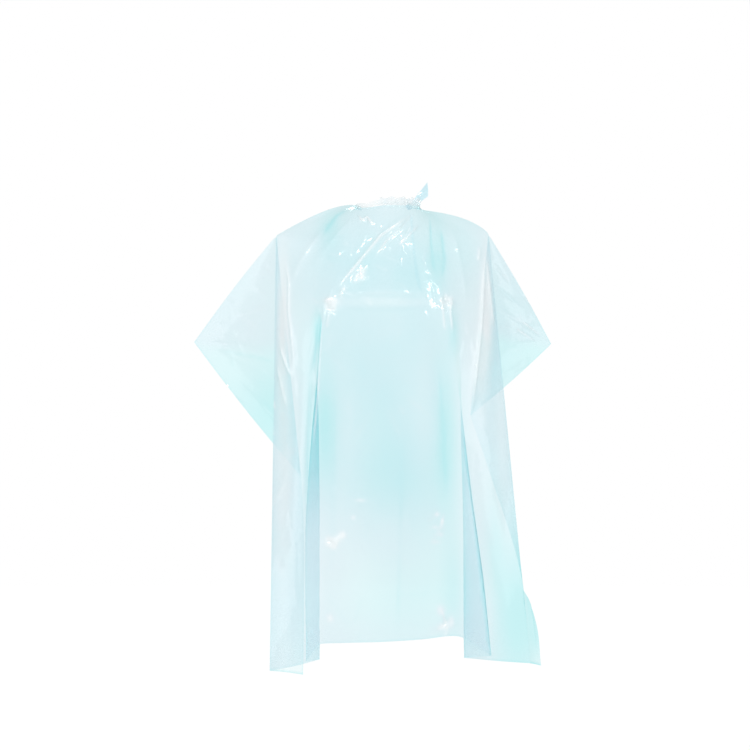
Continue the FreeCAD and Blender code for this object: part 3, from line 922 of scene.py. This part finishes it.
def add_front():
    """The front of the sheet, with its gathered neckline and its two pleats. Its creases die out at the
    neckline and at its two outer creases, where it meets the side strips, and lie nearly flat at the hem."""
    grid, shares, levels = front_grid(FRONT_ROWS, FRONT_COLUMNS)
    grid = softened_rows(rounded_columns(grid, 3), levels)
    creases = front_creases()
    mask = smoothstep(1 - np.abs(shares), 0, 0.05)[None, :] * smoothstep(levels, 0.0, 0.03)[:, None]
    mask = mask * (1 - 0.85 * smoothstep(levels, 0.965, 0.995))[:, None]
    grid = crumpled(grid, creases, mask, 0.0012, 3)

    angle = -math.pi / 2 + shares * MOUTH_SPREAD
    fade = np.exp(-levels / (0.35 * YOKE_SHARE))[:, None]
    gathered = gathers(angle[None, :], levels[:, None]) * fade
    outward = np.column_stack([np.cos(angle), np.sin(angle), np.full_like(angle, 0.7)])[None]
    grid = grid + outward * (gathered * GATHER_DEPTH)[..., None]

    haze_and_highlight, tint_and_shade = film_look(grid, 0.40, 21, creases, FRONT_PATCHES)
    tucked = tucked_layers(shares, levels)
    haze_and_highlight = np.maximum(haze_and_highlight - 0.3 * tucked, LEAST_HAZE)
    tint_and_shade = tint_and_shade - 0.5 * tucked + 0.12 * np.abs(gathered) + edge_tint(shares, levels)
    piece = mesh_object("film_front", grid, film, haze_and_highlight, tint_and_shade)
    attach(piece, "front")
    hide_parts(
        "left_yoke_panel", "front_yoke_panel", "right_yoke_panel", "chest_panel", "front_panel",
        "left_inner_pleat", "left_outer_pleat", "right_inner_pleat", "right_outer_pleat",
    )


def add_side(side):
    """The strip that turns back behind the front at its outer crease."""
    grid, v = side_grid(side, SIDE_ROWS, SIDE_COLUMNS)
    u = np.linspace(0, 1, SIDE_COLUMNS)[None, :]
    mask = smoothstep(u, 0, 0.2) * np.where(v[:, None] < 0.55, 1 - smoothstep(u, 0.8, 1), 1)
    spots = (-220, -160) if side == "left" else (190, 290)
    creases = SIDE_CREASES[side] + random_creases(
        20, spots, (-860, -200), (20, 90), -90, 20, (3, 8), (0.4, 1.4)
    )
    grid = crumpled(grid, creases, mask, 0.001, 5)
    haze_and_highlight, tint_and_shade = film_look(grid, 0.12, 22, creases, SIDE_PATCHES)
    free_edge = smoothstep(u, 0.97, 1.0) * smoothstep(v, 0.5, 0.6)[:, None]
    hem = smoothstep(v, 0.994, 1.0)[:, None]
    piece = mesh_object(f"film_{side}_side", grid, film, haze_and_highlight, tint_and_shade - 0.5 + free_edge + hem)
    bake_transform(piece)
    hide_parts(f"{side}_side_panel")


def add_wing(side):
    """The upper corner of the sheet, hazy down to the level of its tip and clear below it. The step from hazy
    to clear is painted: it stands in for the sheen where the upper wing mirrors the lamps.
    """
    grid, t = wing_grid(side, WING_ROWS, WING_COLUMNS)
    u = np.linspace(0, 1, WING_COLUMNS)[None, :]
    spots, angle = ((-350, -190), -40) if side == "left" else ((190, 300), 40)
    creases = WING_CREASES[side] + random_creases(
        40, spots, (-420, -110), (12, 55), angle, 30, (2.0, 4.5), (0.3, 1.0)
    )
    grid = crumpled(grid, creases, smoothstep(u, 0, 0.12), 0.0007, 7)
    haze_and_highlight, tint_and_shade = film_look(grid, 0.42, 23, creases, WING_PATCHES)
    tip = t[np.argmax(np.linalg.norm(grid[:, -1] - grid[:, 0], axis=1))]
    # painted sheen: the wing is cleared below its tip, so the haze above it stands in for the lamps mirrored
    # in the upper wing
    below = smoothstep(t, tip - 0.03, tip + 0.07)[:, None]
    free_edge = smoothstep(u, 0.975, 1.0)
    piece = mesh_object(f"film_{side}_wing", grid, film, haze_and_highlight - 0.34 * below, tint_and_shade + 0.5 * free_edge)
    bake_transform(piece)
    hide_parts(f"{side}_wing_upper", f"{side}_wing_lower")


# The casing's section from its seam over the gathered edge: (out from the neck ring, height, gathering).
BAND_SECTION = [
    (0.0, BAND_BOTTOM, 1.0),
    (0.0016, 0.0, 1.0),
    (0.0018, 0.005, 1.1),
    (0.0012, BAND_TOP, 1.3),
    (-0.0002, BAND_TOP + 0.0006, 1.3),
    (-0.0014, BAND_TOP - 0.001, 1.2),
    (-0.0022, 0.003, 0.9),
    (-0.0022, -0.003, 0.8),
]
BAND_GATHERS = 0.0008                # how far a gather of the casing stands out
BAND_SQUEEZE = 110                   # the share of its height that the casing loses per metre it sinks
CRIMPS = 110                         # how many small crimps there are round the neck


def add_neck_band():
    """The gathered casing: the edge of the film folded over the tie, crimped round the neck."""
    angles = np.linspace(-math.pi / 2 - MOUTH_SPREAD, -math.pi / 2 + MOUTH_SPREAD, 900)
    knots = np.column_stack([np.linspace(0, 1, len(BAND_SECTION)), BAND_SECTION])
    out, z, size = smooth_line(knots, np.linspace(0, 1, 22)).T[:, :, None]
    rim = smoothstep(z, BAND_BOTTOM, BAND_TOP)
    # the ruffle stands up at the front of the neck only
    ruffled = smoothstep(angles, math.radians(-112), math.radians(-96)) * (1 - smoothstep(angles, 0.2, 0.6))
    small_waves = np.sin(41 * angles) * np.sin(5 * angles)
    lift = ruffled * (0.0016 + 0.0014 * np.sin(17 * angles + 1.0) + 0.0012 * small_waves)
    radius = NECK_RADIUS + out + BAND_GATHERS * size * gathers(angles, z * 8)
    sunk = neckline_drop(angles)
    height = z * (1 - BAND_SQUEEZE * sunk * rim) + rim * lift - sunk
    grid = np.stack([radius * np.cos(angles), radius * np.sin(angles), height], axis=2)

    places = np.linspace(angles[0], angles[-1], CRIMPS)
    crimp = np.interp(angles + 6 * z, places, RANDOM.uniform(0, 1, CRIMPS))
    haze_and_highlight = 0.14 + ruffled * (0.12 + 0.34 * crimp**2)
    piece = mesh_object("neck_band", grid, crimped_film, haze_and_highlight, -0.6)
    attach(piece, "front")
    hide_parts("neck_casing")


KNOT = np.mean(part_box("tie_knot"), axis=0)
KNOT_ANGLE = math.atan2(KNOT[1], KNOT[0])
KNOT_CLEARANCE = 0.10                # the angle from the knot's middle to each end of the tie band
KNOT_HALF_SIZE = (0.0060, 0.0050, 0.0056)
TIE_HALF_HEIGHT = 0.0036
TIE_INSIDE = 0.0008                  # how far inside the neck ring the tie runs


def add_tie_band():
    """The film tie: a crumpled strip that runs inside the casing and across the back of the neck."""
    start, end = KNOT_ANGLE + KNOT_CLEARANCE, KNOT_ANGLE + 2 * math.pi - KNOT_CLEARANCE
    angles = np.linspace(start, end, 720)
    up = np.linspace(-1, 1, 15)[:, None]
    narrow = 0.55 + 0.35 * np.abs(np.sin((angles - KNOT_ANGLE) / 2))
    height = TIE_HALF_HEIGHT * up * narrow - neckline_drop(angles)
    wrinkle = 0.0005 * np.sin(26 * angles + 5 * up) + 0.0003 * np.sin(71 * angles - 7 * up)
    fold = 0.0004 * np.cos(up * math.pi * 1.5)
    radius = NECK_RADIUS - TIE_INSIDE + wrinkle + fold
    grid = np.stack([radius * np.cos(angles), radius * np.sin(angles), height], axis=2)
    piece = mesh_object("tie_band", grid, tie_film, 0.10, -0.8)
    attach(piece, "front")
    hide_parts("neck_tie")


def add_knot():
    """The knot: a tight bundle of folded film."""
    around, over = np.meshgrid(np.linspace(0, 2 * math.pi, 73), np.linspace(0.04, math.pi - 0.04, 40))
    ridges = 1 + 0.13 * np.sin(5 * around + 3 * over) + 0.07 * np.sin(11 * around - 6 * over)
    ridges = ridges + 0.10 * np.cos(4 * over + around)
    ball = np.stack([np.cos(around) * np.sin(over), np.sin(around) * np.sin(over), np.cos(over)], axis=2)
    turn = KNOT_ANGLE + math.pi / 2
    c, s = math.cos(turn), math.sin(turn)
    turned = np.array([[c, s, 0], [-s, c, 0], [0, 0, 1]])
    grid = (ball * KNOT_HALF_SIZE * ridges[..., None]) @ turned + KNOT
    piece = mesh_object("tie_knot_film", grid, tie_film, 0.5, -0.3)
    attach(piece, "front")
    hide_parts("tie_knot")


def add_tail(node, widths, waves, slant, haze_and_highlight, tint_and_shade, turn):
    """A free end of the tie, pleated where it leaves the knot and spread towards its cut end."""
    body = node.replace("_tie", "")
    hinge = JOINTS[f"{body}_hinge"]
    pivot = np.array(hinge["pos_m"])
    along = np.mean(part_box(node), axis=0) - pivot
    length = 2 * np.linalg.norm(along) - 0.004       # the film ends 4 mm inside the box of its solid
    along /= np.linalg.norm(along)
    level = square_to(along, np.array(hinge["axis"], float))
    upright = np.cross(along, level)
    sideways = level * math.cos(turn) + upright * math.sin(turn)
    outward = upright * math.cos(turn) - level * math.sin(turn)
    t = np.linspace(0.10, 1, 90)[:, None, None]      # from beside the knot to the cut end
    u = np.linspace(-1, 1, 34)[None, :, None]        # from one edge of the strip to the other
    start_width, end_width = widths
    half = (start_width + (end_width - start_width) * t**0.8) / 2
    pleat = 0.0016 * np.sin(u * math.pi * waves + 2 * t) * (0.5 + 0.5 * t)
    sag = 0.004 * np.sin(math.pi * t) * (1 + 0.4 * u)
    reach = length * (t + slant * u * t * 0.5)
    grid = pivot + along * reach + sideways * (u * half) + outward * (pleat + sag)
    piece = mesh_object(f"{node}_film", grid, tie_film, haze_and_highlight, tint_and_shade)
    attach(piece, body)
    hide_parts(node)


add_front()
for side in SIDES:
    add_side(side)
for side in SIDES:
    add_wing(side)
add_neck_band()
add_tie_band()
add_knot()
add_tail("short_tie_tail", widths=(0.006, 0.020), waves=1.0, slant=0.4, haze_and_highlight=0.30, tint_and_shade=0.9, turn=0.7)
add_tail("long_tie_tail", widths=(0.005, 0.014), waves=1.2, slant=0.2, haze_and_highlight=0.08, tint_and_shade=-0.2, turn=0.0)

add_camera()
add_world()
add_floor()
set_view()
add_lights()
